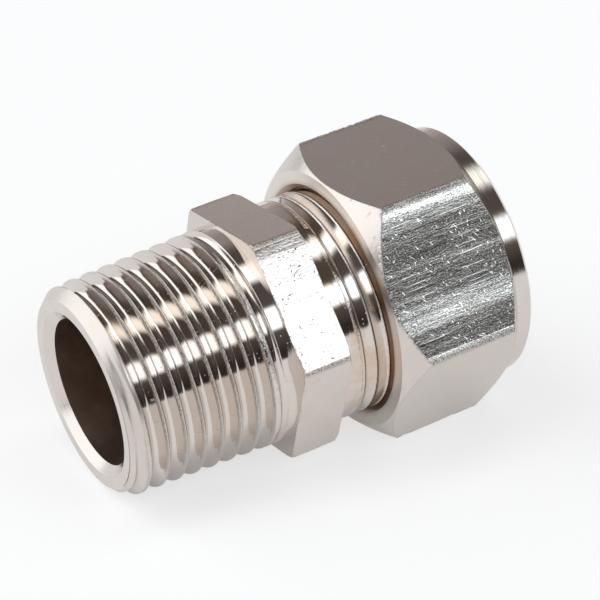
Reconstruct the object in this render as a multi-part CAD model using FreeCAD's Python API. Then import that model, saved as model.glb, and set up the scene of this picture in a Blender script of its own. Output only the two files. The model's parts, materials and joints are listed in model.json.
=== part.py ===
import FreeCAD, Part
import math
import os

# Straight male compression fitting for 16 mm tube on a half-inch taper pipe thread.
# It is drawn with its axis along +X, the pipe end at x = 0 and a flat of the nut downwards,
# and only then laid down as it rests on a floor. All sizes are millimetres and degrees.

# tube and the two standard threads
tube_r = 8.0
pipe_pitch = 25.4 / 14
pipe_depth_share = 0.6403   # groove depth per pitch
pipe_small_r = 10.22        # crest radius at the pipe end
pipe_taper = 1 / 32         # radius gained per length
pipe_flank = 27.5           # half of the thread angle
pipe_crest = 0.38           # flat left on a crest
nut_pitch = 25.4 / 19
shank_depth_share = 0.6134
nut_depth_share = 0.5413
nut_thread_r = 10.95        # crest radius of the parallel thread on the shank
nut_flank = 30.0
nut_crest = 0.19

# body
bore_r = 7.15
bore_mouth_r = 8.05
bore_mouth_depth = 0.76
pipe_face_r = 9.25          # outer edge of the flat ring at the pipe end
pipe_lead = 1.10            # axial length of the chamfer outside that ring
pipe_entry = 1.6            # length over which the thread comes down to full depth
pipe_entry_lift = 0.33      # what the groove still lacks at x = 0
pipe_length = 16.55         # pipe end to the hexagon's shoulder
pipe_fade = 2.6             # length over which the thread runs out
pipe_plain = 0.65           # unthreaded cone before the shoulder
shoulder_fillet = 0.30
shoulder_step = 0.10        # height of that fillet
body_flats = 22.0
body_hex_length = 5.0
body_hex_turn = -10.0       # against the nut's hexagon
body_corner_front = 0.35    # radius turned off the corners, pipe side
body_corner_back = 0.55
body_corner_angle = 30.0
shank_length = 11.05        # hexagon to the tube end of the body
shank_plain = 0.9           # unthreaded length behind the hexagon
shank_fade = 1.5            # length over which the thread comes in
shank_lead = 0.75           # chamfer at the tube end
shank_face = 0.80           # flat ring between that chamfer and the seat
socket_depth = 14.0         # how far the tube goes in

# nut
nut_flats = 26.0
nut_length = 14.83
nut_land = 3.64             # length of the tube hole behind the seat
nut_face_inset = 0.15       # from a flat down to the edge of the front face
nut_front_angle = 45.0
nut_back_angle = 39.0       # between the rear chamfer and the end face
collar_inset = 0.53         # from a flat down to the collar
collar_length = 1.76
collar_edge = 0.35
entry_step = 0.6            # what the entry opens beyond the shank's thread
hole_edge = 0.6
relief_length = 1.0         # turned groove behind the inner thread
relief_depth = 0.1
relief_slope = 0.5
seat_bore_length = 0.12

# compression ring
ring_wall = 1.54
ring_end_wall = 0.42        # thickness left at each end of the ring
ring_band = 2.0
seat_angle = 30.0           # cones of the ring and of both seats, from the axis

# fits, all radial but the last
socket_clearance = 0.10
ring_clearance = 0.06
hole_clearance = 0.15
thread_clearance = 0.13
ring_play = 0.35            # ring inside the nut
seat_gap = 0.02             # between a cone of the ring and its seat

# thread starts: angle, from +Y towards +Z, at which a groove's middle passes x = 0
pipe_phase = 66.0
nut_phase = 148.0

# drawing aids: spans of a helix and steps along each, how far a cutter reaches past a face
# that it opens, and past the crests of a thread, and by what part of a turn it overruns
turns_per_span = 0.5
points_per_span = 12
reach = 1.0
thread_reach = 0.1
overrun = 0.1

# sizes that follow from the ones above
pipe_depth = pipe_depth_share * pipe_pitch
shank_depth = shank_depth_share * nut_pitch
nut_depth = nut_depth_share * nut_pitch
body_hex_front = pipe_length
body_hex_back = body_hex_front + body_hex_length
body_end = body_hex_back + shank_length
tube_stop = body_end - socket_depth
socket_r = tube_r + socket_clearance
ring_bore_r = tube_r + ring_clearance
hole_r = tube_r + hole_clearance
seat_slope = math.tan(math.radians(seat_angle))
seat_shift = seat_gap / math.sin(math.radians(seat_angle))
seat_mouth_r = nut_thread_r - shank_lead - shank_face
seat_length = (seat_mouth_r - socket_r) / seat_slope
ring_r = ring_bore_r + ring_wall
ring_end_r = ring_bore_r + ring_end_wall
ring_start = body_end - (seat_mouth_r - ring_end_r) / seat_slope + seat_shift
ring_cone = (ring_r - ring_end_r) / seat_slope
ring_end = ring_start + ring_band + 2 * ring_cone
nut_bore_r = ring_r + ring_play
nut_major_r = nut_thread_r + thread_clearance
nut_minor_r = nut_major_r - nut_depth
nut_seat_end = ring_end + (ring_end_r - hole_r) / seat_slope + seat_shift
nut_seat_start = nut_seat_end - (nut_bore_r - hole_r) / seat_slope
relief_end = nut_seat_start - seat_bore_length
nut_thread_end = relief_end - relief_length
nut_end = nut_seat_end + nut_land
nut_front = nut_end - nut_length
nut_face_r = nut_flats / 2 - nut_face_inset
entry_r = nut_thread_r + entry_step
collar_r = nut_flats / 2 - collar_inset
collar_start = nut_end - collar_length


def tangent(angle):
    return math.tan(math.radians(angle))


def turned(outline):
    """Solid of revolution about X from closed (x, radius) points."""
    wire = Part.makePolygon([FreeCAD.Vector(x, r, 0) for x, r in outline + outline[:1]])
    return Part.Face(wire).revolve(FreeCAD.Vector(0, 0, 0), FreeCAD.Vector(1, 0, 0), 360)


def corner_radius(flats):
    return flats / 2 / math.cos(math.pi / 6)


def hexagon(flats, turn, front, back):
    """Hexagonal bar along X, its corners turned off by a cone at each end.

    front and back are (x, radius left on the end face, angle of the cone from that face).
    A turn of 0 puts a flat at the bottom."""
    corner_r = corner_radius(flats)
    corners = []
    for step in range(7):
        angle = math.radians(turn + 60 * step)
        corners.append(FreeCAD.Vector(front[0], corner_r * math.cos(angle), corner_r * math.sin(angle)))
    bar = Part.Face(Part.makePolygon(corners)).extrude(FreeCAD.Vector(back[0] - front[0], 0, 0))
    top_r = corner_r + reach
    cones = turned([
        (front[0], 0),
        (front[0], front[1]),
        (front[0] + (top_r - front[1]) * tangent(front[2]), top_r),
        (back[0] - (top_r - back[1]) * tangent(back[2]), top_r),
        (back[0], back[1]),
        (back[0], 0),
    ])
    return bar.common(cones)


def pipe_crest_r(x):
    return pipe_small_r + pipe_taper * x


def pipe_lift(x):
    """What the pipe thread's groove lacks in depth at x, where it comes in and runs out."""
    entering = max(0.0, pipe_entry_lift * (pipe_entry - x) / pipe_entry)
    fade_start = pipe_length - pipe_plain - pipe_fade
    leaving = max(0.0, (x - fade_start) / pipe_fade) * pipe_depth
    return entering + leaving


def shank_lift(x):
    full = body_hex_back + shank_plain + shank_fade
    return max(0.0, (full - x) / shank_fade) * shank_depth


def helix_point(place, turn):
    """Point of a helix from place(turn), which gives (x, radius, angle in degrees)."""
    x, radius, angle = place(turn)
    angle = math.radians(angle)
    return FreeCAD.Vector(x, radius * math.cos(angle), radius * math.sin(angle))


def helix_edge(start, end, place):
    count = points_per_span
    points = [helix_point(place, start + (end - start) * step / count) for step in range(count + 1)]
    curve = Part.BSplineCurve()
    curve.interpolate(points)
    return curve.toShape()


def thread_cutter(turns, phase, pitch, flank, root_r, root_flat, height):
    """Helical bar of trapezoid section, narrow at root_r(x) and wide at its top.

    height is signed: it grows away from the axis for an outside thread and towards it
    for an inside thread. Spans of about half a turn keep each face short."""

    def corner(side, top):
        def place(turn):
            x = turn * pitch
            half = root_flat / 2 + (abs(height) * tangent(flank) if top else 0)
            radius = root_r(x) + (height if top else 0)
            return x + side * half, radius, phase + 360 * turn
        return place

    corners = [corner(side, top) for side, top in ((-1, 0), (1, 0), (1, 1), (-1, 1))]
    spans = int(round((turns[1] - turns[0]) / turns_per_span))
    joints = [turns[0] + (turns[1] - turns[0]) * span / spans for span in range(spans + 1)]
    faces = []
    for start, end in zip(joints, joints[1:]):
        edges = [helix_edge(start, end, place) for place in corners]
        for index in range(4):
            faces.append(Part.makeRuledSurface(edges[index], edges[(index + 1) % 4]))
    for turn in turns:
        ends = [helix_point(place, turn) for place in corners]
        faces.append(Part.Face(Part.makePolygon(ends + ends[:1])))
    shell = Part.makeShell(faces)
    shell.sewShape()
    solid = Part.makeSolid(shell)
    if solid.Volume < 0:
        solid.reverse()
    return solid


def pipe_thread_groove():
    root_flat = pipe_pitch - pipe_crest - 2 * pipe_depth * tangent(pipe_flank)
    turns = (-0.9, (pipe_length - pipe_plain) / pipe_pitch - overrun / 2)
    return thread_cutter(turns, pipe_phase, pipe_pitch, pipe_flank,
                         lambda x: pipe_crest_r(x) - pipe_depth + pipe_lift(x),
                         root_flat, pipe_depth + thread_reach)


def shank_thread_groove():
    root_flat = nut_pitch - nut_crest - 2 * shank_depth * tangent(nut_flank)
    turns = ((body_hex_back + shank_plain) / nut_pitch, body_end / nut_pitch + 1 - overrun)
    return thread_cutter(turns, nut_phase, nut_pitch, nut_flank,
                         lambda x: nut_thread_r - shank_depth + shank_lift(x),
                         root_flat, shank_depth + thread_reach)


def nut_thread_groove():
    """Runs half a turn from the shank's groove, so that the shank's crest lies in it."""
    root_flat = nut_crest + 2 * thread_clearance * tangent(nut_flank)
    turns = (nut_front / nut_pitch - 1 + overrun, nut_thread_end / nut_pitch + overrun)
    return thread_cutter(turns, nut_phase + 180, nut_pitch, nut_flank,
                         lambda x: nut_major_r, root_flat, -(nut_depth + thread_reach))


def make_body():
    hub_r = pipe_crest_r(body_hex_front) + shoulder_step
    blank = turned([
        (0, 0),
        (0, pipe_face_r),
        (pipe_lead, pipe_crest_r(pipe_lead)),
        (body_hex_front - shoulder_fillet, pipe_crest_r(body_hex_front - shoulder_fillet)),
        (body_hex_front, hub_r),
        (body_hex_back, hub_r),
        (body_hex_back, nut_thread_r),
        (body_end - shank_lead, nut_thread_r),
        (body_end, nut_thread_r - shank_lead),
        (body_end, 0),
    ])
    corner_r = corner_radius(body_flats)
    bar = hexagon(body_flats, body_hex_turn,
                  (body_hex_front, corner_r - body_corner_front, body_corner_angle),
                  (body_hex_back, corner_r - body_corner_back, body_corner_angle))
    mouth_slope = (bore_mouth_r - bore_r) / bore_mouth_depth
    bore = turned([
        (-reach, 0),
        (-reach, bore_mouth_r + reach * mouth_slope),
        (bore_mouth_depth, bore_r),
        (tube_stop, bore_r),
        (tube_stop, socket_r),
        (body_end - seat_length, socket_r),
        (body_end + reach, seat_mouth_r + reach * seat_slope),
        (body_end + reach, 0),
    ])
    body = blank.fuse(bar).removeSplitter().cut(bore)
    return body.cut(pipe_thread_groove()).cut(shank_thread_groove())


def make_nut():
    bar = hexagon(nut_flats, 0,
                  (nut_front, nut_face_r, nut_front_angle),
                  (collar_start, collar_r, nut_back_angle))
    collar = turned([
        (collar_start - reach, 0),
        (collar_start - reach, collar_r),
        (nut_end - collar_edge, collar_r),
        (nut_end, collar_r - collar_edge),
        (nut_end, 0),
    ])
    inside = turned([
        (nut_front - reach, 0),
        (nut_front - reach, entry_r + reach),
        (nut_front + entry_r - nut_minor_r, nut_minor_r),
        (nut_thread_end, nut_minor_r),
        (nut_thread_end, nut_major_r + relief_depth),
        (relief_end - relief_slope, nut_major_r + relief_depth),
        (relief_end, nut_bore_r),
        (nut_seat_start, nut_bore_r),
        (nut_seat_end, hole_r),
        (nut_end - hole_edge, hole_r),
        (nut_end + reach, hole_r + hole_edge + reach),
        (nut_end + reach, 0),
    ])
    return bar.fuse(collar).removeSplitter().cut(inside).cut(nut_thread_groove())


def make_ring():
    return turned([
        (ring_start, ring_bore_r),
        (ring_start, ring_end_r),
        (ring_start + ring_cone, ring_r),
        (ring_end - ring_cone, ring_r),
        (ring_end, ring_end_r),
        (ring_end, ring_bore_r),
    ])


def first_crest():
    """Where the pipe thread's first whole crest begins along the bottom."""
    groove = (270 - pipe_phase) % 360 / 360 * pipe_pitch
    return groove + (pipe_pitch - pipe_crest) / 2 - pipe_lift(groove) * tangent(pipe_flank)


def lay_down(shape):
    """Tip the part forward over the nut's flat until the pipe thread touches the floor.

    The origin then lies on the floor, under the middle of the part."""
    flat_start = nut_front + nut_face_inset * tangent(nut_front_angle)
    touch = first_crest()
    tilt = math.atan2(nut_flats / 2 - pipe_crest_r(touch), flat_start - touch)
    low_x = -pipe_face_r * math.sin(tilt)
    high_x = nut_end * math.cos(tilt) + (collar_r - collar_edge) * math.sin(tilt)
    lift = nut_flats / 2 * math.cos(tilt) - flat_start * math.sin(tilt)
    laid = shape.copy()
    laid.rotate(FreeCAD.Vector(0, 0, 0), FreeCAD.Vector(0, 1, 0), -math.degrees(tilt))
    laid.translate(FreeCAD.Vector(-(low_x + high_x) / 2, 0, lift))
    return laid


os.makedirs("parts", exist_ok=True)
for name, solid in (("body", make_body()), ("compression_ring", make_ring()), ("nut", make_nut())):
    lay_down(solid).exportStep(os.path.join("parts", name + ".step"))
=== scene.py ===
import json
import math

import bmesh
import bpy
import numpy as np
from mathutils import Matrix, Vector


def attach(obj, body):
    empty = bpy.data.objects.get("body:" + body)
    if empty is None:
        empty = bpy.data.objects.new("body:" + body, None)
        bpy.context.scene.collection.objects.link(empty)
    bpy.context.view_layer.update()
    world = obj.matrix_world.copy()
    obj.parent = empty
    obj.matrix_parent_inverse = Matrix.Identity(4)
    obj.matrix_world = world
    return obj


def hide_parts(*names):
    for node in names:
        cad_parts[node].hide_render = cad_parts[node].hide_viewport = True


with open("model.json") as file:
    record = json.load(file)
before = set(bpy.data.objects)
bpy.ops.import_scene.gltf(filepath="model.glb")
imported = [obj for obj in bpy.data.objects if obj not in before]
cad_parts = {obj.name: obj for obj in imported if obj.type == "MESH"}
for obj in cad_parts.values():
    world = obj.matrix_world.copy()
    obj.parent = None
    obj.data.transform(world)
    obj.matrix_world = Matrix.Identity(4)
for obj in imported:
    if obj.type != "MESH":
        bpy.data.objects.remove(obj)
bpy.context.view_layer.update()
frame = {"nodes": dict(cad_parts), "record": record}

# Sizes are in millimetres along the turned axis and across it, as the part is drawn; lay()
# turns them into metres in the frame. Angles run about the axis, from +Y towards +Z.
MM = 0.001

# taper thread, hexagon and shank of the body
PIPE_PITCH = 25.4 / 14
PIPE_DEPTH = 0.6403 * PIPE_PITCH
PIPE_SMALL_R = 10.22
PIPE_TAPER = 1 / 32
PIPE_FLANK = math.radians(27.5)
PIPE_CREST = 0.38
PIPE_PHASE = 66.0
PIPE_LENGTH = 16.55
PIPE_FADE = 2.6
PIPE_PLAIN = 0.65
PIPE_ENTRY = 1.6
PIPE_ENTRY_LIFT = 0.33
PIPE_ENTRY_WEAR = 0.30
PIPE_FACE_R = 9.25
PIPE_LEAD = 1.10
BORE_R = 7.15
MOUTH_R = 8.05
MOUTH_DEPTH = 0.76
SHOULDER_STEP = 0.10
SHOULDER_FILLET = 0.30
BODY_FLATS = 22.0
BODY_HEX_LENGTH = 5.0
BODY_HEX_TURN = -10.0
BODY_CUT_FRONT = 0.35
BODY_CUT_BACK = 0.55
BODY_CORNER_ANGLE = math.radians(30.0)
SHANK_LENGTH = 11.05
SHANK_R = 10.95
SHANK_PLAIN = 0.9
SHANK_FADE = 1.5
SHANK_LEAD = 0.75
SHANK_FACE = 0.80
SOCKET_R = 8.10
SOCKET_DEPTH = 14.0

# thread of the shank and the nut
NUT_PITCH = 25.4 / 19
SHANK_DEPTH = 0.6134 * NUT_PITCH
NUT_DEPTH = 0.5413 * NUT_PITCH
NUT_FLANK = math.radians(30.0)
NUT_CREST = 0.19
NUT_PHASE = 148.0
THREAD_CLEARANCE = 0.13

# nut
NUT_FLATS = 26.0
NUT_LENGTH = 14.83
NUT_LAND = 3.64
NUT_FACE_INSET = 0.15
NUT_FRONT_ANGLE = math.radians(45.0)
NUT_BACK_ANGLE = math.radians(39.0)
COLLAR_INSET = 0.53
COLLAR_LENGTH = 1.76
COLLAR_EDGE = 0.35
ENTRY_STEP = 0.6
HOLE_R = 8.15
HOLE_EDGE = 0.6
RELIEF_LENGTH = 1.0
RELIEF_DEPTH = 0.1
RELIEF_SLOPE = 0.5
SEAT_BORE = 0.12
SEAT_SLOPE = math.tan(math.radians(30.0))
RING_R = 9.60
RING_END_R = 8.48
RING_BAND = 2.0
RING_PLAY = 0.35
SEAT_SHIFT = 0.04

# places that follow
HEX_FRONT = PIPE_LENGTH
HEX_BACK = HEX_FRONT + BODY_HEX_LENGTH
BODY_END = HEX_BACK + SHANK_LENGTH
TUBE_STOP = BODY_END - SOCKET_DEPTH
SEAT_MOUTH_R = SHANK_R - SHANK_LEAD - SHANK_FACE
RING_START = BODY_END - (SEAT_MOUTH_R - RING_END_R) / SEAT_SLOPE + SEAT_SHIFT
RING_END = RING_START + RING_BAND + 2 * (RING_R - RING_END_R) / SEAT_SLOPE
NUT_SEAT_END = RING_END + (RING_END_R - HOLE_R) / SEAT_SLOPE + SEAT_SHIFT
NUT_BORE_R = RING_R + RING_PLAY
NUT_SEAT_START = NUT_SEAT_END - (NUT_BORE_R - HOLE_R) / SEAT_SLOPE
RELIEF_END = NUT_SEAT_START - SEAT_BORE
NUT_THREAD_END = RELIEF_END - RELIEF_LENGTH
NUT_END = NUT_SEAT_END + NUT_LAND
NUT_FRONT = NUT_END - NUT_LENGTH
NUT_MAJOR_R = SHANK_R + THREAD_CLEARANCE
NUT_MINOR_R = NUT_MAJOR_R - NUT_DEPTH
NUT_FACE_R = NUT_FLATS / 2 - NUT_FACE_INSET
ENTRY_R = SHANK_R + ENTRY_STEP
COLLAR_R = NUT_FLATS / 2 - COLLAR_INSET
COLLAR_START = NUT_END - COLLAR_LENGTH

# edges, grooves and worn places
EDGE_ROUND = 0.05             # height difference over which two surfaces blend
CORNER_ROUND = 0.08           # the same at a hexagon's corners
EDGE_BREAK = 0.03             # taken off the edges of the body's hexagon at its ends
# depth of the grooves shown, as a share of the drawn thread's. The shank's are shallower than
# the nut's thread is deep, so under the nut these two surfaces overlap.
PIPE_HOLLOW = 0.95
SHANK_HOLLOW = 0.16
GROOVE_WIDENING = 0.11        # what wear adds to half a groove's width
CREST_BAND = 0.07             # distance over which wear fades beside a groove's edge
FULL_CREST_DEPTH = 0.4        # depth from which a groove has fully worn crests
LIP_DEPTH = 0.22              # crescent cut in the front face, and where it lies
LIP_ANGLE = 178.0
WORN_ANGLE = 152.0            # where the pipe thread's crests are worn most
CORNER_FROM = 28.6            # degrees from a flat's middle at which corner wear begins
BATTERED_SIDE = 2             # the flat of each hexagon that took the knocks
CROWN_ACROSS = 0.0010         # fall of a flat per square of the distance across
CROWN_ALONG = 0.05            # the same along it, measured in lengths of the flat
SHARP_ANGLE = math.radians(38)
WELD_GAP = 0.0015
SHORTEST_EDGE = 0.0005

# where the drawn part lies in the frame: the pipe end's centre and the axis are a mount
PIPE_MOUNT = next(m for m in frame["record"]["mounts"] if m["name"] == "pipe_thread")
AXIS = -Vector(PIPE_MOUNT["axis"]).normalized()
ORIGIN = Vector(PIPE_MOUNT["pos_m"])
LAID = np.array([[AXIS.x, 0, -AXIS.z], [0, 1, 0], [AXIS.z, 0, AXIS.x]])


def lay(points):
    """Drawn points in millimetres to metres in the frame."""
    return points @ LAID.T * MM + np.array(ORIGIN)


def lay_direction(x, y, z):
    return Vector(LAID @ np.array([x, y, z]))


def lattice(ix, iy, iz, seed):
    """Repeatable random value from 0 to 1 at each whole-numbered point."""
    n = (ix * 73856093) ^ (iy * 19349663) ^ (iz * 83492791) ^ (seed * 2654435761)
    n = n & 0xFFFFFFFF
    n = ((n >> 13) ^ n) & 0xFFFFFFFF
    n = (n * ((n * n * 15731 + 789221) & 0xFFFFFFFF) + 1376312589) & 0x7FFFFFFF
    return n / 0x7FFFFFFF


def noise(points, scale, seed):
    """Smooth noise from -1 to 1 with lumps of about 1 / scale; scale may differ by axis."""
    p = points * np.array(scale)
    base = np.floor(p).astype(np.int64)
    t = p - base
    t = t * t * (3 - 2 * t)
    total = np.zeros(len(points))
    for corner in range(8):
        step = np.array([corner & 1, corner >> 1 & 1, corner >> 2 & 1])
        weight = np.prod(np.where(step, t, 1 - t), axis=1)
        total += weight * lattice(*(base + step).T, seed)
    return total * 2 - 1


def smooth_min(a, b, width):
    part = np.maximum(width - np.abs(a - b), 0) / width
    return np.minimum(a, b) - part * part * width / 4


def angle_list(step, corners, spread):
    """Angles round the part in degrees, closer together at the corners of a hexagon."""
    angles = [float(a) for a in np.arange(0, 360, step)]
    for corner in corners:
        angles += [(corner + offset) % 360 for offset in spread]
    angles = sorted(set(round(a, 4) for a in angles))
    return np.array(angles + [360.0])


def hexagon_r(x, angles, flats, turn, rounding, height):
    """Radius of a hexagon from six planes; height is each plane's rise over x and across."""
    r = np.full((len(angles), x.shape[1]), flats)
    for side in range(6):
        off = (angles - turn - 60 * side - 30 + 180) % 360 - 180
        near = np.abs(off) < 42
        slant = np.radians(off[near])[:, None]
        across = np.broadcast_to(flats / 2 * np.tan(slant), x[near].shape)
        plane = (flats / 2 + height(x[near], across, side)) / np.cos(slant)
        r[near] = smooth_min(r[near], plane, rounding)
    return r


class Thread:
    """A helical groove in a turned surface: where its columns of points go, and its radius.

    hollow and power shape a groove worn to a smooth hollow: its depth as a share of the sharp
    one, and how flat its floor is."""

    def __init__(self, pitch, phase, flank, root_flat, depth, surface, hollow=None, power=2):
        self.pitch = pitch
        self.phase = phase
        self.flank = flank
        self.root_flat = root_flat
        self.depth = depth
        self.surface = surface
        self.hollow = hollow
        self.power = power

    def half_width(self, depth):
        widening = GROOVE_WIDENING if self.hollow else 0.0
        return self.root_flat / 2 + depth * math.tan(self.flank) + widening

    def columns(self, angles, start, end, shares):
        """Places across each groove, at these shares of its half width, and each crest."""
        columns = []
        first = math.floor(start / self.pitch) - 2
        last = math.ceil(end / self.pitch) + 1
        for turn in range(first, last + 1):
            middle = (turn + (angles - self.phase) / 360) * self.pitch
            half = self.half_width(self.depth(middle))
            columns += [middle, middle + self.pitch / 2]
            for share in shares:
                columns += [middle + share * half, middle - share * half]
        return [np.clip(column, start, end) for column in columns]

    def radius(self, x, angles, crest_round=0.0):
        """Surface radius at x with the groove cut, and how much of a crest each point is."""
        around = (angles[:, None] - self.phase) / 360
        turn = np.round(x / self.pitch - around)
        middle = (turn + around) * self.pitch
        depth = self.depth(middle)
        crest = self.surface(x)
        if self.hollow:
            half = self.half_width(depth)
            spread = np.abs(x - middle) / half
            fall = self.hollow * depth * (1 - np.clip(spread, 0, 1.3) ** self.power)
            cut = smooth_min(self.surface(middle) - fall, crest, crest_round)
            cut = np.where(depth > 0.002, cut, crest)
            share = np.clip(1.25 - np.abs(np.abs(x - middle) - half) / CREST_BAND, 0, 1)
            share = share * np.clip(depth / FULL_CREST_DEPTH, 0, 1)
        else:
            rise = np.maximum((np.abs(x - middle) - self.root_flat / 2) / math.tan(self.flank), 0)
            cut = np.maximum(self.surface(middle) + depth - rise, crest)
            share = np.zeros_like(x)
        return cut, share


def sorted_columns(columns, angles):
    return np.sort(np.stack([np.broadcast_to(c, angles.shape) for c in columns], axis=1), axis=1)


class Section:
    """Collects columns of points round the part into one closed loop at each angle."""

    def __init__(self, angles, corner, zones):
        self.angles = angles
        self.corner = corner
        self.zones = list(zones)
        self.x = []
        self.r = []
        self.zone = []
        self.worn = []
        self.matte = []

    def add(self, x, r, zone, worn=0.0, matte=0.0, other=None, where=None):
        """Columns at x and r: a number, one value for each angle, or a table by angle.

        The faces take the zone's material, or the other's where that table is true."""
        rows = len(self.angles)
        values = [np.asarray(v, dtype=float) for v in (x, r, worn, matte)]
        values = [v[:, None] if v.ndim == 1 else v for v in values]
        count = max(v.shape[1] if v.ndim == 2 else 1 for v in values)
        for store, value in zip((self.x, self.r, self.worn, self.matte), values):
            store.append(np.broadcast_to(value, (rows, count)))
        slots = np.full((rows, count), self.zones.index(zone))
        if other:
            slots[np.broadcast_to(where, slots.shape)] = self.zones.index(other)
        self.zone.append(slots)

    def line(self, start, end, count, zone):
        """Straight run of columns; start and end are (x, r), and the end is left out."""
        for step in range(count):
            t = step / count
            self.add(start[0] + (end[0] - start[0]) * t, start[1] + (end[1] - start[1]) * t, zone)

    def mesh(self, name, body, node, slot, materials):
        x = np.concatenate(self.x, axis=1)
        r = np.concatenate(self.r, axis=1)
        worn = np.concatenate(self.worn, axis=1)
        matte = np.concatenate(self.matte, axis=1)
        rows, columns = x.shape
        angle = np.radians(self.angles)[:, None]
        drawn = np.stack([x, r * np.cos(angle), r * np.sin(angle)], axis=2).reshape(-1, 3)
        side = np.floor((self.angles - self.corner) / 60)
        off = np.radians(self.angles - self.corner - side * 60 - 30)[:, None]
        flat = np.stack([x, r * np.sin(off), 0 * x + 9.0 * side[:, None]], axis=2).reshape(-1, 3)
        index = np.arange(rows * columns).reshape(rows, columns)
        across = np.roll(index, -1, axis=1)
        quads = np.stack([index[:-1], across[:-1], across[1:], index[1:]], axis=2).reshape(-1, 4)
        mesh = bpy.data.meshes.new(name)
        mesh.from_pydata(lay(drawn).tolist(), [], quads.tolist())
        for material in materials.values():
            mesh.materials.append(material)
        slots = np.concatenate(self.zone, axis=1)[:-1]
        mesh.polygons.foreach_set("material_index", slots.ravel())
        spot = mesh.attributes.new("drawn", "FLOAT_VECTOR", "POINT")
        spot.data.foreach_set("vector", drawn.ravel())
        place = mesh.attributes.new("flat", "FLOAT_VECTOR", "POINT")
        place.data.foreach_set("vector", flat.ravel())
        wear = mesh.attributes.new("worn", "FLOAT", "POINT")
        wear.data.foreach_set("value", worn.ravel())
        dull = mesh.attributes.new("matte", "FLOAT", "POINT")
        dull.data.foreach_set("value", matte.ravel())
        weld(mesh)
        piece = bpy.data.objects.new(name, mesh)
        bpy.context.scene.collection.objects.link(piece)
        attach(piece, body)
        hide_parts(node)
        return piece


def weld(mesh):
    """Joins the seam and columns that lie on each other, closes what is open, and smooths."""
    work = bmesh.new()
    work.from_mesh(mesh)
    bmesh.ops.remove_doubles(work, verts=work.verts, dist=WELD_GAP * MM)
    bmesh.ops.dissolve_degenerate(work, edges=work.edges, dist=SHORTEST_EDGE * MM)
    open_edges = [edge for edge in work.edges if edge.is_boundary]
    if open_edges:
        bmesh.ops.holes_fill(work, edges=open_edges, sides=0)
    bmesh.ops.recalc_face_normals(work, faces=work.faces)
    for face in work.faces:
        face.smooth = True
    for edge in work.edges:
        if len(edge.link_faces) == 2 and edge.calc_face_angle(0) > SHARP_ANGLE:
            edge.smooth = False
    work.to_mesh(mesh)
    work.free()


def pipe_surface(x):
    chamfer = PIPE_FACE_R + x * (PIPE_SMALL_R + PIPE_TAPER * PIPE_LEAD - PIPE_FACE_R) / PIPE_LEAD
    fillet = np.clip((x - HEX_FRONT + SHOULDER_FILLET) / SHOULDER_FILLET, 0, 1) ** 2 * SHOULDER_STEP
    return smooth_min(chamfer, pipe_groove_surface(x), EDGE_ROUND) + fillet


def pipe_depth(middle):
    missing = PIPE_ENTRY_LIFT + PIPE_ENTRY_WEAR
    entering = np.maximum(0, missing * (PIPE_ENTRY - middle) / PIPE_ENTRY)
    fade_start = PIPE_LENGTH - PIPE_PLAIN - PIPE_FADE
    leaving = np.maximum(0, (middle - fade_start) / PIPE_FADE) * PIPE_DEPTH
    return np.maximum(0, PIPE_DEPTH - entering - leaving)


def pipe_groove_surface(x):
    """The cone that the pipe thread is cut from, without its chamfer."""
    return PIPE_SMALL_R + PIPE_TAPER * x


def shank_surface(x):
    lead = SHANK_R - SHANK_LEAD + (BODY_END - x)
    return smooth_min(np.full_like(x, SHANK_R), lead, EDGE_ROUND)


def shank_depth(middle):
    full = HEX_BACK + SHANK_PLAIN + SHANK_FADE
    return np.clip(1 - (full - middle) / SHANK_FADE, 0, 1) * SHANK_DEPTH


def nut_inner_surface(x):
    return np.maximum(NUT_MINOR_R, ENTRY_R - (x - NUT_FRONT))


def drawn_points(x, r, angles):
    a = np.radians(angles)[:, None]
    return np.stack([x, r * np.cos(a), r * np.sin(a)], axis=2).reshape(-1, 3)


def chips(x, r, angles, share, depth, seed):
    """Small dents along crests and corners, deepest where the share is 1."""
    points = drawn_points(x, r, angles)
    fine = noise(points, (4.5, 4.5, 4.5), seed).reshape(x.shape)
    coarse = noise(points, (1.1, 1.1, 1.1), seed + 1).reshape(x.shape)
    dent = np.clip(fine * 0.75 + coarse * 0.45 - 0.12, 0, 1)
    return r - depth * share * dent, share * np.clip(dent * 3, 0, 1)


def hexagon_columns(hex_r, start, end, front_r, front_slope, back_r, back_slope, spacing):
    """Places along a hexagon: its ends, both sides of each chamfer's edge, and between."""
    front_edge = start + np.maximum(0, hex_r - front_r) * front_slope
    back_edge = end - np.maximum(0, hex_r - back_r) * back_slope
    columns = [start + step for step in (0, 0.02, 0.05, 0.09)]
    columns += [end - step for step in (0, 0.02, 0.05, 0.09)]
    columns += [np.clip(front_edge + step, start, end) for step in (-0.08, -0.04, 0, 0.04, 0.08)]
    columns += [np.clip(back_edge + step, start, end) for step in (-0.08, -0.04, 0, 0.04, 0.08)]
    count = int((end - start) / spacing)
    columns += [start + (end - start) * (step + 0.5) / count for step in range(count)]
    return columns


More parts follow.
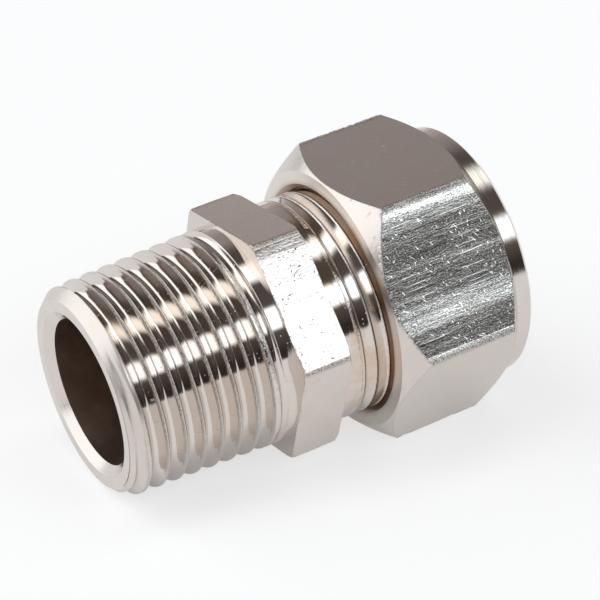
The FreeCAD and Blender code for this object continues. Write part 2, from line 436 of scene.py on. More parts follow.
def make_body(materials):
    corners = [BODY_HEX_TURN + 60 * k for k in range(6)]
    angles = angle_list(1.25, corners, (-0.5, -0.2, 0.2, 0.5))
    section = Section(angles, BODY_HEX_TURN, materials)

    # mouth and front face
    section.line((MOUTH_DEPTH, BORE_R), (0.03, MOUTH_R - 0.03), 5, "turned")
    section.line((0.0, MOUTH_R + 0.02), (0.0, PIPE_FACE_R - 0.25), 4, "face")
    # the crescent is a real cut; its faces take the darker bore finish, which is painted shade in
    # the step
    lip = LIP_DEPTH * np.clip(np.cos(np.radians(angles - LIP_ANGLE)) * 4.0 - 2.8, 0, 1)
    cut_in = (lip > 0.01)[:, None]
    section.add(0.0, PIPE_FACE_R - 0.15, "face", other="bore", where=cut_in)
    section.add(lip, PIPE_FACE_R - 0.12, "face", other="bore", where=cut_in)
    section.add(lip, PIPE_FACE_R - 0.08, "face", other="bore", where=cut_in)
    section.add(0.0, PIPE_FACE_R - 0.05, "face")

    # taper thread
    root_flat = PIPE_PITCH - PIPE_CREST - 2 * PIPE_DEPTH * math.tan(PIPE_FLANK)
    pipe = Thread(PIPE_PITCH, PIPE_PHASE, PIPE_FLANK, root_flat, pipe_depth, pipe_groove_surface,
                  hollow=PIPE_HOLLOW)
    columns = pipe.columns(angles, 0.0, HEX_FRONT, shares=(0.22, 0.45, 0.66, 0.84, 0.95, 1.03))
    chamfer_columns = (0.015, 0.03, 0.06, 0.3, 0.55, 0.8, 1.0, 1.06, 1.1, 1.15)
    columns += [np.full_like(angles, x) for x in chamfer_columns]
    columns += [np.full_like(angles, HEX_FRONT - x) for x in (0.3, 0.2, 0.12, 0.06, 0.02)]
    x = sorted_columns(columns, angles)
    cut, share = pipe.radius(x, angles, crest_round=0.04)
    r = np.minimum(cut, pipe_surface(x))
    share = share * np.clip((x - PIPE_LEAD) / 0.3, 0, 1) * np.clip((HEX_FRONT - 1.6 - x) / 0.8, 0, 1)
    facing = np.clip(np.cos(np.radians(angles - WORN_ANGLE)) * 2.5 - 1.2, 0, 1)
    near_front = 0.3 + 0.7 * facing[:, None]
    r, worn = chips(x, r, angles, share * near_front, depth=0.05, seed=11)
    matte = np.clip((PIPE_LEAD + 0.7 - x) / 0.5, 0, 1)
    section.add(x, r, "thread", np.maximum(worn, 0.9 * share * near_front), matte)

    # hexagon
    corner_r = BODY_FLATS / 2 / math.cos(math.pi / 6)
    flat_r = BODY_FLATS / 2 / np.cos(np.radians((angles - BODY_HEX_TURN) % 60 - 30))
    hub_r = PIPE_SMALL_R + PIPE_TAPER * HEX_FRONT + SHOULDER_STEP
    front_r = corner_r - BODY_CUT_FRONT
    back_r = corner_r - BODY_CUT_BACK
    slope = math.tan(BODY_CORNER_ANGLE)
    columns = hexagon_columns(flat_r, HEX_FRONT, HEX_BACK, front_r, slope, back_r, slope, 0.25)
    x = sorted_columns(columns, angles)
    r = hexagon_r(x, angles, BODY_FLATS, BODY_HEX_TURN, CORNER_ROUND, body_flat_height)
    r = smooth_min(r, front_r + (x - HEX_FRONT) / slope, EDGE_ROUND)
    r = smooth_min(r, back_r + (HEX_BACK - x) / slope, EDGE_ROUND)
    edge_r = flat_r[:, None] - EDGE_BREAK
    r = smooth_min(r, edge_r + (x - HEX_FRONT), EDGE_BREAK)
    r = smooth_min(r, edge_r + (HEX_BACK - x), EDGE_BREAK)
    off = np.abs((angles - BODY_HEX_TURN) % 60 - 30)
    at_corner = np.clip((off - CORNER_FROM) / 1.2, 0, 1)[:, None]
    at_end = np.clip(1 - np.minimum(x - HEX_FRONT, HEX_BACK - x) / 0.15, 0, 1)
    r, worn = chips(x, r, angles, np.maximum(at_corner, 0.6 * at_end), depth=0.08, seed=23)
    for t in (0.0, 0.3, 0.6, 0.9):
        section.add(HEX_FRONT, hub_r + (r[:, 0] - hub_r) * t, "shoulder")
    front = np.floor((angles - BODY_HEX_TURN) / 60)[:, None] == BATTERED_SIDE
    section.add(x, r, "flat", np.maximum(worn, 0.7 * at_corner), 0.0, "battered", front)
    for t in (0.9, 0.6, 0.3):
        section.add(HEX_BACK, SHANK_R + (r[:, -1] - SHANK_R) * t, "shoulder")

    # shank
    root_flat = NUT_PITCH - NUT_CREST - 2 * SHANK_DEPTH * math.tan(NUT_FLANK)
    shank = Thread(NUT_PITCH, NUT_PHASE, NUT_FLANK, root_flat, shank_depth,
                   lambda x: np.full_like(x, SHANK_R), hollow=SHANK_HOLLOW, power=4)
    columns = shank.columns(angles, HEX_BACK, BODY_END, shares=(0.4, 0.75, 0.92, 1.0))
    columns += [np.full_like(angles, HEX_BACK + x) for x in (0.05, 0.3, 0.6, 0.85)]
    columns += [np.full_like(angles, BODY_END - x) for x in (0.8, 0.75, 0.7, 0.4, 0.1)]
    x = sorted_columns(columns, angles)
    cut, share = shank.radius(x, angles, crest_round=0.03)
    r = np.minimum(cut, shank_surface(x))
    share = share * np.clip((x - HEX_BACK - SHANK_PLAIN - 0.3) / 0.3, 0, 1)
    share = share * np.clip((BODY_END - SHANK_LEAD - x) / 0.3, 0, 1)
    r, worn = chips(x, r, angles, share, depth=0.04, seed=31)
    section.add(x, r, "shank", np.maximum(worn, 0.8 * share))

    # tube end, seat, socket and bore
    seat_start = BODY_END - (SEAT_MOUTH_R - SOCKET_R) / SEAT_SLOPE
    section.line((BODY_END, SHANK_R - SHANK_LEAD - 0.02), (BODY_END, SEAT_MOUTH_R), 3, "turned")
    section.line((BODY_END, SEAT_MOUTH_R), (seat_start, SOCKET_R), 4, "turned")
    section.line((seat_start, SOCKET_R), (TUBE_STOP, SOCKET_R), 3, "bore")
    section.line((TUBE_STOP, SOCKET_R), (TUBE_STOP, BORE_R), 2, "bore")
    section.line((TUBE_STOP, BORE_R), (MOUTH_DEPTH, BORE_R), 5, "bore")
    return section.mesh("body_turned", "fitting_body", "body", "body_metal", materials)


def crown(x, across, start, end):
    """Fall of a tumbled flat towards its edges, in millimetres."""
    along = (x - (start + end) / 2) / (end - start)
    return -CROWN_ACROSS * across ** 2 - CROWN_ALONG * along ** 2


# battered flats from the upper edge down: places across, each with its tilt in degrees
# towards that edge
NUT_BATTERED = ((-9.0, 9.5), (-6.5, 8.0), (-6.1, 0.5), (-5.0, -1.0), (-3.0, -2.5), (-1.6, -2.0),
                (-1.3, 2.0), (-1.0, -2.0), (1.2, -1.5), (2.2, -0.5), (2.6, 3.0), (3.0, 0.5),
                (3.4, 3.2), (4.5, 2.4), (4.8, -0.6), (9.0, -1.4))
BODY_BATTERED = ((-9.0, 11.0), (-5.6, 8.0), (-5.3, 1.0), (-4.9, 5.0), (-4.6, 0.0), (9.0, 0.0))


def facets(x, across, tilts, seed):
    """Height of a flat that has these tilts, with the lines of a drawn bar, in millimetres."""
    places = np.linspace(-9, 9, 721)
    slope = np.tan(np.radians(np.interp(places, *zip(*tilts))))
    height = np.cumsum(slope) * (places[1] - places[0])
    points = np.stack([x * 0.1, across, 0 * x], axis=2).reshape(-1, 3)
    wander = noise(points, (1, 0.3, 1), seed).reshape(x.shape)
    lines = noise(points, (1, 2.2, 1), seed + 1).reshape(x.shape)
    return np.interp(across + 0.35 * wander, places, height - height.max()) + 0.007 * (lines - 1)


def body_flat_height(x, across, side):
    height = crown(x, across, HEX_FRONT, HEX_BACK)
    if side == BATTERED_SIDE:
        height = facets(x, across, BODY_BATTERED, seed=70) + height
    return height


def nut_flat_height(x, across, side):
    if side == BATTERED_SIDE:
        return facets(x, across, NUT_BATTERED, seed=50)
    return crown(x, across, NUT_FRONT, COLLAR_START)


def make_nut(materials):
    corners = [60 * k for k in range(6)]
    angles = angle_list(1.0, corners, (-0.5, -0.25, 0.25, 0.5))
    section = Section(angles, 0.0, materials)
    corner_r = NUT_FLATS / 2 / math.cos(math.pi / 6)
    flat_r = NUT_FLATS / 2 / np.cos(np.radians(angles % 60 - 30))
    front_slope = math.tan(NUT_FRONT_ANGLE)
    back_slope = math.tan(NUT_BACK_ANGLE)

    section.line((NUT_FRONT, ENTRY_R + 0.04), (NUT_FRONT, NUT_FACE_R - 0.03), 4, "face")
    columns = hexagon_columns(flat_r, NUT_FRONT, COLLAR_START, NUT_FACE_R, front_slope,
                              COLLAR_R, back_slope, 0.22)
    x = sorted_columns(columns, angles)
    hexagon = hexagon_r(x, angles, NUT_FLATS, 0.0, CORNER_ROUND, nut_flat_height)
    cone = smooth_min(NUT_FACE_R + (x - NUT_FRONT) / front_slope,
                      COLLAR_R + (COLLAR_START - x) / back_slope, EDGE_ROUND)
    r = smooth_min(hexagon, cone, EDGE_ROUND)
    off = np.abs(angles % 60 - 30)
    on_flat = np.clip((cone - hexagon) / 0.06 + 0.5, 0, 1)
    at_corner = np.clip(off - CORNER_FROM, 0, 1)[:, None] * on_flat
    r, worn = chips(x, r, angles, at_corner, depth=0.14, seed=41)
    front = np.floor(angles / 60)[:, None] == BATTERED_SIDE
    at_edge = np.clip(1.2 - np.abs(cone - hexagon) / 0.05, 0, 1) * np.where(front, 0.9, 0.3)
    worn = np.maximum(worn, np.maximum(0.8 * at_corner, at_edge))
    section.add(x, r, "flat", worn, 0.0, "battered", front & (on_flat > 0.5))

    # collar and tube hole
    section.line((COLLAR_START, COLLAR_R), (NUT_END - COLLAR_EDGE, COLLAR_R), 8, "collar")
    section.line((NUT_END - COLLAR_EDGE, COLLAR_R), (NUT_END, COLLAR_R - COLLAR_EDGE), 3, "collar")
    section.line((NUT_END, COLLAR_R - COLLAR_EDGE), (NUT_END, HOLE_R + HOLE_EDGE), 8, "end")
    section.line((NUT_END, HOLE_R + HOLE_EDGE), (NUT_END - HOLE_EDGE, HOLE_R), 3, "end")
    section.line((NUT_END - HOLE_EDGE, HOLE_R), (NUT_SEAT_END, HOLE_R), 4, "bore")
    section.line((NUT_SEAT_END, HOLE_R), (NUT_SEAT_START, NUT_BORE_R), 4, "bore")
    section.line((NUT_SEAT_START, NUT_BORE_R), (RELIEF_END, NUT_BORE_R), 1, "bore")
    relief_r = NUT_MAJOR_R + RELIEF_DEPTH
    section.line((RELIEF_END, NUT_BORE_R), (RELIEF_END - RELIEF_SLOPE, relief_r), 2, "bore")
    section.line((RELIEF_END - RELIEF_SLOPE, relief_r), (NUT_THREAD_END, relief_r), 2, "bore")

    # inner thread, half a turn from the shank's groove
    root_flat = NUT_CREST + 2 * THREAD_CLEARANCE * math.tan(NUT_FLANK)
    thread = Thread(NUT_PITCH, NUT_PHASE + 180, NUT_FLANK, root_flat,
                    lambda middle: np.full_like(middle, NUT_DEPTH),
                    lambda x: np.full_like(x, NUT_MINOR_R))
    columns = thread.columns(angles, NUT_FRONT, NUT_THREAD_END, shares=(0.2, 0.9, 1.0))
    columns += [np.full_like(angles, NUT_FRONT + x) for x in (0.05, 0.2, 0.5, 0.8, 1.1, 1.25)]
    x = sorted_columns(columns, angles)
    cut = thread.radius(x, angles)[0]
    r = np.maximum(cut, nut_inner_surface(x))
    x, r = x[:, ::-1], r[:, ::-1]
    section.add(x, r, "bore", other="face", where=x < NUT_FRONT + ENTRY_R - NUT_MINOR_R)
    return section.mesh("nut_turned", "union_nut", "nut", "nut_metal", materials)


class Nodes:
    """Short way to add and join shader nodes."""

    def __init__(self, tree):
        self.tree = tree
        tree.nodes.clear()

    def add(self, kind, **settings):
        node = self.tree.nodes.new(kind)
        for key, value in settings.items():
            setattr(node, key, value)
        return node

    def put(self, target, value):
        if isinstance(value, bpy.types.NodeSocket):
            self.tree.links.new(value, target)
        elif value is not None:
            target.default_value = value

    def math(self, operation, a, b=None, c=None, clamp=False):
        node = self.add("ShaderNodeMath", operation=operation, use_clamp=clamp)
        for socket, value in zip(node.inputs, (a, b, c)):
            self.put(socket, value)
        return node.outputs[0]

    def vector(self, operation, a, b=None):
        node = self.add("ShaderNodeVectorMath", operation=operation)
        self.put(node.inputs[0], a)
        self.put(node.inputs[1], b)
        return node.outputs["Value"] if operation in ("LENGTH", "DOT_PRODUCT") else node.outputs[0]

    def ramp(self, value, low, high, out_low=0.0, out_high=1.0):
        """Smooth step from out_low at low to out_high at high."""
        node = self.add("ShaderNodeMapRange", interpolation_type="SMOOTHSTEP")
        for socket, number in zip(node.inputs, (value, low, high, out_low, out_high)):
            self.put(socket, number)
        return node.outputs[0]

    def noise(self, vector, scale, detail=3.0, roughness=0.5, distortion=0.0):
        node = self.add("ShaderNodeTexNoise")
        self.put(node.inputs["Vector"], vector)
        node.inputs["Scale"].default_value = scale
        node.inputs["Detail"].default_value = detail
        node.inputs["Roughness"].default_value = roughness
        node.inputs["Distortion"].default_value = distortion
        return node.outputs["Fac"]

    def colour_noise(self, vector, scale):
        """Vector of smooth noise about zero."""
        node = self.add("ShaderNodeTexNoise")
        self.put(node.inputs["Vector"], vector)
        node.inputs["Scale"].default_value = scale
        node.inputs["Detail"].default_value = 1.0
        return self.vector("SUBTRACT", node.outputs["Color"], (0.5, 0.5, 0.5))

    def combine(self, x, y, z):
        node = self.add("ShaderNodeCombineXYZ")
        for socket, value in zip(node.inputs, (x, y, z)):
            self.put(socket, value)
        return node.outputs[0]

    def mix(self, factor, a, b):
        """Mix of two colours."""
        node = self.add("ShaderNodeMix", data_type="RGBA")
        self.put(node.inputs[0], factor)
        self.put(node.inputs[6], a)
        self.put(node.inputs[7], b)
        return node.outputs[2]

    def bump(self, height, strength, distance, normal=None):
        node = self.add("ShaderNodeBump")
        node.inputs["Strength"].default_value = strength
        node.inputs["Distance"].default_value = distance
        self.put(node.inputs["Height"], height)
        self.put(node.inputs["Normal"], normal)
        return node.outputs[0]


NICKEL = (0.765, 0.703, 0.66, 1)
NICKEL_WARM = (0.72, 0.64, 0.56, 1)
NICKEL_PALE = (0.84, 0.81, 0.78, 1)
PIT = (0.10, 0.085, 0.075, 1)
SCRATCH = (0.95, 0.95, 0.93, 1)
BORE_BROWN = (0.44, 0.32, 0.26, 1)
TINT_FROM_R = 12.1            # an inner tint sets in here and is full at the smaller radius
TINT_FULL_R = 10.9
SCRATCH_LIFT = 0.13           # how far a scratch tilts the surface upwards


def strokes(n, place, turn, length, width, share, wander):
    """Scattered short scratches on the flats: 1 inside a stroke and 0 outside."""
    bent = n.vector("ADD", place, n.vector("MULTIPLY", n.colour_noise(place, 0.5), (wander,) * 3))
    apart = n.add("ShaderNodeSeparateXYZ")
    n.put(apart.inputs[0], bent)
    moved = n.math("ADD", apart.outputs[0], n.math("MULTIPLY", apart.outputs[2], 1.7))
    spin = n.add("ShaderNodeVectorRotate", rotation_type="Z_AXIS")
    n.put(spin.inputs["Vector"], n.combine(moved, apart.outputs[1], 0.0))
    spin.inputs["Angle"].default_value = math.radians(turn)
    cells = n.add("ShaderNodeTexVoronoi", feature="F1", voronoi_dimensions="2D")
    n.put(cells.inputs["Vector"], n.vector("MULTIPLY", spin.outputs[0], (1 / length, 1 / width, 1)))
    cells.inputs["Scale"].default_value = 1.0
    pick = n.add("ShaderNodeSeparateXYZ")
    n.put(pick.inputs[0], cells.outputs["Color"])
    chosen = n.math("LESS_THAN", pick.outputs[0], share)
    return n.math("MULTIPLY", n.ramp(cells.outputs["Distance"], 0.12, 0.38, 1.0, 0.0), chosen)


def metal(name, base=NICKEL, rough=0.16, turning=0.0, turning_pitch=0.1, drawn_lines=0.0,
          dents=0.0, pits=0.0, scratches=0.0, specks=0.0, warm=0.3, grain=0.3, sparkle=0.0,
          dust=0.0, inner_tint=None, warm_tint=NICKEL_WARM):
    """Nickel plate over turned or drawn brass.

    Depths in millimetres: turning of lines round the axis, drawn_lines of lines along it, dents
    of soft dents and sparkle of small facets. From 0 to 1: pits, scratches and specks say how
    strong those marks are, warm how much of warm_tint clouds the base, grain how strong the
    fine grain is, and dust how many places hold a pale grain. inner_tint colours what is near
    the axis."""
    material = bpy.data.materials.new(name)
    material.use_nodes = True
    n = Nodes(material.node_tree)
    spot = n.add("ShaderNodeAttribute", attribute_name="drawn").outputs["Vector"]
    place = n.add("ShaderNodeAttribute", attribute_name="flat").outputs["Vector"]
    worn = n.add("ShaderNodeAttribute", attribute_name="worn").outputs["Fac"]
    matte = n.add("ShaderNodeAttribute", attribute_name="matte").outputs["Fac"]
    parts = n.add("ShaderNodeSeparateXYZ")
    n.put(parts.inputs[0], spot)
    along, y, z = parts.outputs
    radius = n.vector("LENGTH", n.combine(0.0, y, z))
    cloud = n.noise(spot, 0.35, 4.0)
    fine = n.noise(spot, 26.0, 2.0, 0.6)

    tint = n.mix(n.math("MULTIPLY", n.ramp(cloud, 0.38, 0.68), warm), base, warm_tint)
    if inner_tint:
        tint = n.mix(n.ramp(radius, TINT_FULL_R, TINT_FROM_R, 1.0, 0.0), tint, inner_tint)
    crumbs = n.noise(spot, 6.5, 3.0, 0.7)
    bright = n.math("MULTIPLY", n.ramp(crumbs, 0.51, 0.56), worn)
    dark = n.math("MULTIPLY", n.ramp(crumbs, 0.43, 0.47, 1.0, 0.0), worn)
    tint = n.mix(bright, tint, NICKEL_PALE)
    tint = n.mix(n.math("MULTIPLY", dark, 0.75), tint, PIT)
    roughness = n.math("ADD", rough, n.math("MULTIPLY", n.ramp(fine, 0.3, 0.75), 0.10 * grain))
    roughness = n.math("ADD", roughness, n.math("MULTIPLY", bright, 0.30))
    roughness = n.math("ADD", roughness, n.math("MULTIPLY", matte, 0.27), clamp=True)

    normal = None
    if turning:
        across = n.math("MULTIPLY", n.math("ADD", along, radius), 1 / turning_pitch)
        wave = n.noise(n.combine(across, 0.0, 0.0), 1.0, 3.0, 0.6)
        normal = n.bump(wave, 1.0, turning * MM, normal)
    if drawn_lines:
        lines = n.noise(n.vector("MULTIPLY", place, (0.10, 1.0, 1.0)), 6.0, 5.0, 0.65)
        normal = n.bump(lines, 1.0, drawn_lines * MM, normal)
    if sparkle:
        facet = n.noise(place, 7.0, 2.0, 0.7)
        normal = n.bump(facet, 1.0, sparkle * MM, normal)
        patch = n.noise(n.vector("MULTIPLY", place, (0.35, 1.0, 1.0)), 0.5, 3.0, 0.6)
        patch = n.ramp(patch, 0.36, 0.62)
        seams = n.noise(n.vector("MULTIPLY", place, (0.025, 1.0, 1.0)), 3.0, 5.0, 0.65)
        seam = n.math("MULTIPLY", n.ramp(seams, 0.36, 0.40, 1.0, 0.0), 0.85)
        grit = n.math("ADD", n.noise(place, 6.0, 2.0, 0.7), n.math("MULTIPLY", patch, -0.10))
        grit = n.math("MULTIPLY", n.ramp(grit, 0.36, 0.46, 1.0, 0.0), 0.45)
        tint = n.mix(n.math("MAXIMUM", seam, grit), tint, PIT)
    if dents:
        dent = n.ramp(n.noise(spot, 2.6, 3.0, 0.6, 0.4), 0.35, 0.75)
        normal = n.bump(dent, 1.0, dents * MM, normal)
    if pits:
        wander = n.vector("MULTIPLY", n.colour_noise(place, 3.0), (0.5,) * 3)
        shape = n.noise(n.vector("ADD", place, wander), 4.5, 3.0, 0.6)
        region = n.ramp(n.noise(place, 0.45, 2.0), 0.40, 0.60)
        mask = n.ramp(n.math("ADD", shape, n.math("MULTIPLY", region, 0.08)), 0.685, 0.72)
        mask = n.math("MAXIMUM", mask, strokes(n, place, 35.0, 0.9, 0.07, 0.012, 1.0))
        mask = n.math("MULTIPLY", mask, pits)
        tint = n.mix(mask, tint, PIT)
        roughness = n.math("ADD", roughness, n.math("MULTIPLY", mask, 0.2), clamp=True)
        normal = n.bump(n.math("MULTIPLY", mask, -1.0), 1.0, 0.03 * MM, normal)
    if scratches:
        mark = strokes(n, place, -52.0, 1.1, 0.13, 0.03, 0.6)
        mark = n.math("MAXIMUM", mark, strokes(n, place, -72.0, 0.5, 0.14, 0.04, 0.8))
        mark = n.math("MAXIMUM", mark, strokes(n, place, 0.0, 6.0, 0.07, 0.04, 0.1))
        mark = n.math("MULTIPLY", mark, scratches)
        tint = n.mix(mark, tint, SCRATCH)
        roughness = n.math("ADD", roughness, n.math("MULTIPLY", mark, 0.12), clamp=True)
        amount = n.math("MULTIPLY", mark, SCRATCH_LIFT)
        upper = tuple(lay_direction(0, 0.5, 0.866))
        lift = n.vector("MULTIPLY", upper, n.combine(amount, amount, amount))
        normal = n.vector("NORMALIZE", n.vector("ADD", normal, lift))
    if specks:
        speck = n.math("MULTIPLY", strokes(n, place, 25.0, 0.35, 0.16, 0.012, 1.0), specks)
        tint = n.mix(speck, tint, NICKEL_PALE)
        normal = n.bump(speck, 1.0, 0.05 * MM, normal)
    if dust:
        cells = n.add("ShaderNodeTexVoronoi", feature="F1")
        n.put(cells.inputs["Vector"], spot)
        cells.inputs["Scale"].default_value = 2.2
        pick = n.add("ShaderNodeSeparateXYZ")
        n.put(pick.inputs[0], cells.outputs["Color"])
        grain_of_dust = n.math("MULTIPLY", n.ramp(cells.outputs["Distance"], 0.10, 0.20, 1.0, 0.0),
                               n.math("LESS_THAN", pick.outputs[0], dust))
        tint = n.mix(grain_of_dust, tint, NICKEL_PALE)
        roughness = n.math("ADD", roughness, n.math("MULTIPLY", grain_of_dust, 0.6), clamp=True)
    normal = n.bump(fine, 1.0, 0.004 * grain * MM, normal)
    normal = n.bump(n.math("MULTIPLY", crumbs, worn), 1.0, 0.16 * MM, normal)

    shader = n.add("ShaderNodeBsdfPrincipled")
    shader.inputs["Metallic"].default_value = 1.0
    n.put(shader.inputs["Base Color"], tint)
    n.put(shader.inputs["Roughness"], roughness)
    n.put(shader.inputs["Normal"], normal)
    out = n.add("ShaderNodeOutputMaterial")
    n.put(out.inputs["Surface"], shader.outputs[0])
    return material


def body_materials():
    return {
        "turned": metal("body_turned_edge", rough=0.18, turning=0.008, turning_pitch=0.09),
        "face": metal("body_end_face", base=(0.81, 0.755, 0.72, 1), rough=0.28, turning=0.006,
                      turning_pitch=0.12, grain=0.8),
        "thread": metal("body_taper_thread", rough=0.065, turning=0.001, turning_pitch=0.05,
                        grain=0.2, dust=0.16),
        "shoulder": metal("body_shoulder", rough=0.24, turning=0.006, turning_pitch=0.1),
        "flat": metal("body_hexagon", rough=0.24, drawn_lines=0.004, dents=0.006, grain=0.5),
        "battered": metal("body_battered_flat", rough=0.17, drawn_lines=0.010, dents=0.006, pits=1.0,
                          grain=0.5, warm=0.1),
        # the shank's strong warm tint is a painted warm reflection, clouded at random
        "shank": metal("body_shank_thread", rough=0.08, turning=0.002, turning_pitch=0.08, warm=0.9,
                       dust=0.16, warm_tint=(0.70, 0.56, 0.45, 1)),
        "bore": metal("body_bore", base=BORE_BROWN, rough=0.34, turning=0.01),
    }


def nut_materials():
    return {
        "face": metal("nut_end_face", base=(0.84, 0.785, 0.74, 1), rough=0.28, turning=0.006,
                      grain=0.8, inner_tint=(0.37, 0.26, 0.19, 1)),
        "flat": metal("nut_hexagon", rough=0.24, drawn_lines=0.003, dents=0.004, grain=0.5,
                      specks=1.0),
        "battered": metal("nut_battered_flat", base=(0.84, 0.83, 0.79, 1), rough=0.12,
                          drawn_lines=0.014, dents=0.004, grain=0.4, pits=0.5, scratches=1.0,
                          warm=0.1, sparkle=0.014),
        "collar": metal("nut_collar", rough=0.09, turning=0.045, turning_pitch=0.14),
        "end": metal("nut_tube_end", rough=0.26, turning=0.007, turning_pitch=0.12, grain=0.8),
        "bore": metal("nut_inside", base=BORE_BROWN, rough=0.34, turning=0.008),
    }


def brass_ring():
    ring = frame["nodes"]["compression_ring"]
    material = bpy.data.materials.new("ring_brass")
    material.use_nodes = True
    n = Nodes(material.node_tree)
    spot = n.add("ShaderNodeTexCoord").outputs["Object"]
    cloud = n.noise(spot, 260.0, 4.0)
    turned = n.noise(n.vector("MULTIPLY", spot, (9000.0, 60.0, 60.0)), 1.0, 2.0)
    shader = n.add("ShaderNodeBsdfPrincipled")
    shader.inputs["Metallic"].default_value = 1.0
    n.put(shader.inputs["Base Color"], n.mix(cloud, (0.80, 0.58, 0.27, 1), (0.62, 0.42, 0.19, 1)))
    n.put(shader.inputs["Roughness"], n.ramp(cloud, 0.3, 0.7, 0.2, 0.34))
    n.put(shader.inputs["Normal"], n.bump(turned, 1.0, 0.006 * MM))
    out = n.add("ShaderNodeOutputMaterial")
    n.put(out.inputs["Surface"], shader.outputs[0])
    ring.data.materials.clear()
    ring.data.materials.append(material)


# camera, fitted to thread crests, hexagon corners and round edges in the photo: its focal
# length in pixels of the image, the part's turn about its own axis, two angles of view, and
# where the camera sees the drawn origin, in millimetres to the right, down and forward
FOCAL_PIXELS = 2615.6
IMAGE_PIXELS = 600
FIT_TURN = math.radians(36.82)
FIT_AZIMUTH = math.radians(22.80)
FIT_TILT = math.radians(-21.20)
FIT_OFFSET = np.array([-19.82, 8.68, 238.62])


def make_camera():
    ca, sa = math.cos(FIT_AZIMUTH), math.sin(FIT_AZIMUTH)
    ce, se = math.cos(FIT_TILT), math.sin(FIT_TILT)
    about_y = np.array([[ca, 0, -sa], [0, 1, 0], [sa, 0, ca]])
    about_z = np.array([[ce, -se, 0], [se, ce, 0], [0, 0, 1]])
    look = about_z @ about_y
    drawn = np.array([[1, 0, 0],
                      [0, -math.sin(FIT_TURN), math.cos(FIT_TURN)],
                      [0, -math.cos(FIT_TURN), -math.sin(FIT_TURN)]])
    rows = look @ drawn.T
    place = lay((-rows.T @ FIT_OFFSET)[None, :])[0]
    right, down, forward = (LAID @ row for row in rows)
    turned = [[right[i], -down[i], -forward[i], place[i]] for i in range(3)]
    data = bpy.data.cameras.new("camera")
    data.sensor_width = 36.0
    data.lens = FOCAL_PIXELS / IMAGE_PIXELS * data.sensor_width
    data.clip_start = 0.01
    data.clip_end = 10.0
    camera = bpy.data.objects.new("camera", data)
    camera.matrix_world = Matrix(turned + [[0, 0, 0, 1]])
    bpy.context.scene.collection.objects.link(camera)
    bpy.context.scene.camera = camera


# floor: half its width in metres, how strongly it glows for the camera, the share of that
# in mirror images, and what is added to the share below the part, a painted shadow in mirror images
FLOOR_HALF = 3.0
FLOOR_GLOW = 0.625
MIRRORED_GLOW = 0.80
PAINTED_SHADOW_BELOW_PART = -0.42


def make_floor():
    """Large pale floor that keeps the part's shadow and shows white far off."""
    mesh = bpy.data.meshes.new("floor")
    half = FLOOR_HALF
    mesh.from_pydata([(-half, -half, 0), (half, -half, 0), (half, half, 0), (-half, half, 0)], [],
                     [(0, 1, 2, 3)])
    floor = bpy.data.objects.new("floor", mesh)
    bpy.context.scene.collection.objects.link(floor)
    material = bpy.data.materials.new("floor_paper")
    material.use_nodes = True
    n = Nodes(material.node_tree)
    path = n.add("ShaderNodeLightPath")
    place = n.add("ShaderNodeSeparateXYZ")
    n.put(place.inputs[0], n.add("ShaderNodeNewGeometry").outputs["Position"])
    # painted shadow: below the part the floor's glow in mirror images is turned down
    near_axis = n.ramp(n.math("ABSOLUTE", place.outputs[1]), 0.002, 0.013, 1.0, 0.0)
    near_middle = n.ramp(n.math("ABSOLUTE", place.outputs[0]), 0.016, 0.022, 1.0, 0.0)
    painted_shadow_below = n.math("MULTIPLY", near_axis, near_middle)
    mirrored = n.math("MULTIPLY_ADD", painted_shadow_below, PAINTED_SHADOW_BELOW_PART, MIRRORED_GLOW)
    mirrored = n.math("MULTIPLY", mirrored, path.outputs["Is Glossy Ray"])
    seen = n.math("MAXIMUM", path.outputs["Is Camera Ray"], mirrored)
    seen = n.math("MAXIMUM", seen, path.outputs["Is Transmission Ray"])
    paper = n.add("ShaderNodeBsdfDiffuse")
    paper.inputs["Color"].default_value = (0.52, 0.52, 0.53, 1)
    glow = n.add("ShaderNodeEmission")
    glow.inputs["Color"].default_value = (1.0, 1.0, 1.0, 1)
    n.put(glow.inputs["Strength"], n.math("MULTIPLY", seen, FLOOR_GLOW))
    both = n.add("ShaderNodeAddShader")
    n.put(both.inputs[0], paper.outputs[0])
    n.put(both.inputs[1], glow.outputs[0])
    out = n.add("ShaderNodeOutputMaterial")
    n.put(out.inputs["Surface"], both.outputs[0])
    mesh.materials.append(material)


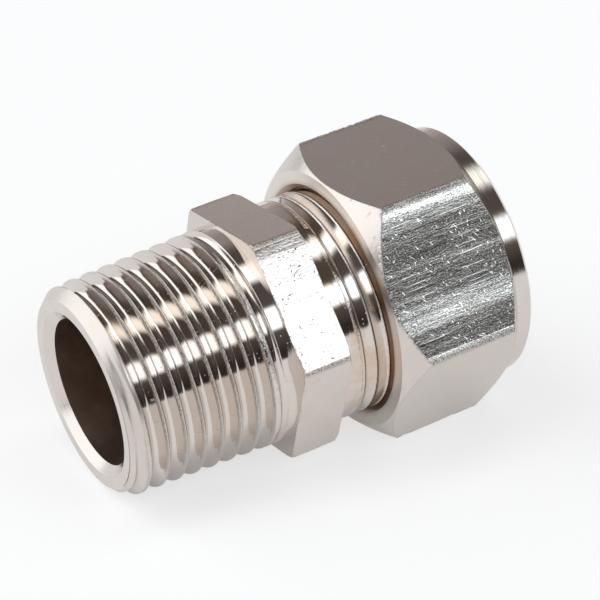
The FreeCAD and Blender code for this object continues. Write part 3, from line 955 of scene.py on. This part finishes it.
def make_light():
    """Studio round the part: two long strip lights in front of it and over it, a broad soft
    light on the pipe end's side, a pale sweep behind, and a dim room, darkest low in front."""
    world = bpy.data.worlds.new("studio")
    bpy.context.scene.world = world
    world.use_nodes = True
    n = Nodes(world.node_tree)
    direction = n.add("ShaderNodeTexCoord").outputs["Generated"]
    along = n.vector("DOT_PRODUCT", direction, tuple(lay_direction(1, 0, 0)))
    back = n.vector("DOT_PRODUCT", direction, tuple(lay_direction(0, 1, 0)))
    up = n.vector("DOT_PRODUCT", direction, tuple(lay_direction(0, 0, 1)))
    turn = n.math("DEGREES", n.math("ARCTAN2", up, n.math("MULTIPLY", back, -1.0)))

    def band(low, high, soft):
        rise = n.ramp(turn, low - soft, low + soft)
        fall = n.ramp(turn, high - soft, high + soft, 1.0, 0.0)
        return n.math("MULTIPLY", rise, fall)

    def reach(low, high, soft):
        """1 between two places along the part's axis, as cosines, and 0 beyond them."""
        rise = n.ramp(along, low - soft, low + soft)
        fall = n.ramp(along, high - soft, high + soft, 1.0, 0.0)
        return n.math("MULTIPLY", rise, fall)

    def product(*factors):
        total = factors[0]
        for factor in factors[1:]:
            total = n.math("MULTIPLY", total, factor)
        return total

    def lamp(colour, strength):
        node = n.add("ShaderNodeBackground")
        n.put(node.inputs["Color"], colour)
        n.put(node.inputs["Strength"], strength)
        return node.outputs[0]

    def add(a, b):
        node = n.add("ShaderNodeAddShader")
        n.put(node.inputs[0], a)
        n.put(node.inputs[1], b)
        return node.outputs[0]

    near_end = n.ramp(along, -0.75, 0.30, 0.25, 1.0)
    far_end = n.ramp(along, 0.50, 0.72, 1.0, 0.22)
    front_strip = product(band(29.0, 50.0, 3.0), near_end, far_end, 2.1)
    over_strip = product(band(81.0, 101.0, 5.0), reach(-0.35, 0.62, 0.12), 1.65)
    soft_box = product(n.ramp(along, -0.34, -0.14, 1.0, 0.0), n.ramp(turn, 62.0, 80.0), 1.3)
    low_sweep = n.ramp(turn, 118.0, 142.0, 0.0, 0.23)
    high_sweep = n.math("ADD", n.ramp(turn, 150.0, 168.0, 0.0, 0.10),
                        n.ramp(turn, 168.0, 184.0, 0.0, 0.34))
    sweep = product(n.math("ADD", low_sweep, high_sweep), n.ramp(along, 0.10, 0.30), far_end)
    room = n.ramp(turn, 5.0, 22.0, 0.035, 0.09)

    total = lamp((1.0, 0.84, 0.76, 1), room)
    total = add(total, lamp((0.92, 1.0, 1.06, 1), front_strip))
    total = add(total, lamp((0.97, 1.0, 0.97, 1), over_strip))
    total = add(total, lamp((0.96, 1.0, 1.02, 1), soft_box))
    total = add(total, lamp((1.0, 0.94, 0.94, 1), sweep))
    seen = n.add("ShaderNodeLightPath").outputs["Is Camera Ray"]
    pick = n.add("ShaderNodeMixShader")
    n.put(pick.inputs[0], seen)
    n.put(pick.inputs[1], total)
    n.put(pick.inputs[2], lamp((1.0, 1.0, 1.0, 1), 1.0))
    out = n.add("ShaderNodeOutputWorld")
    n.put(out.inputs["Surface"], pick.outputs[0])


make_body(body_materials())
make_nut(nut_materials())
brass_ring()
make_camera()
make_floor()
make_light()
bpy.context.scene.view_settings.view_transform = "Standard"
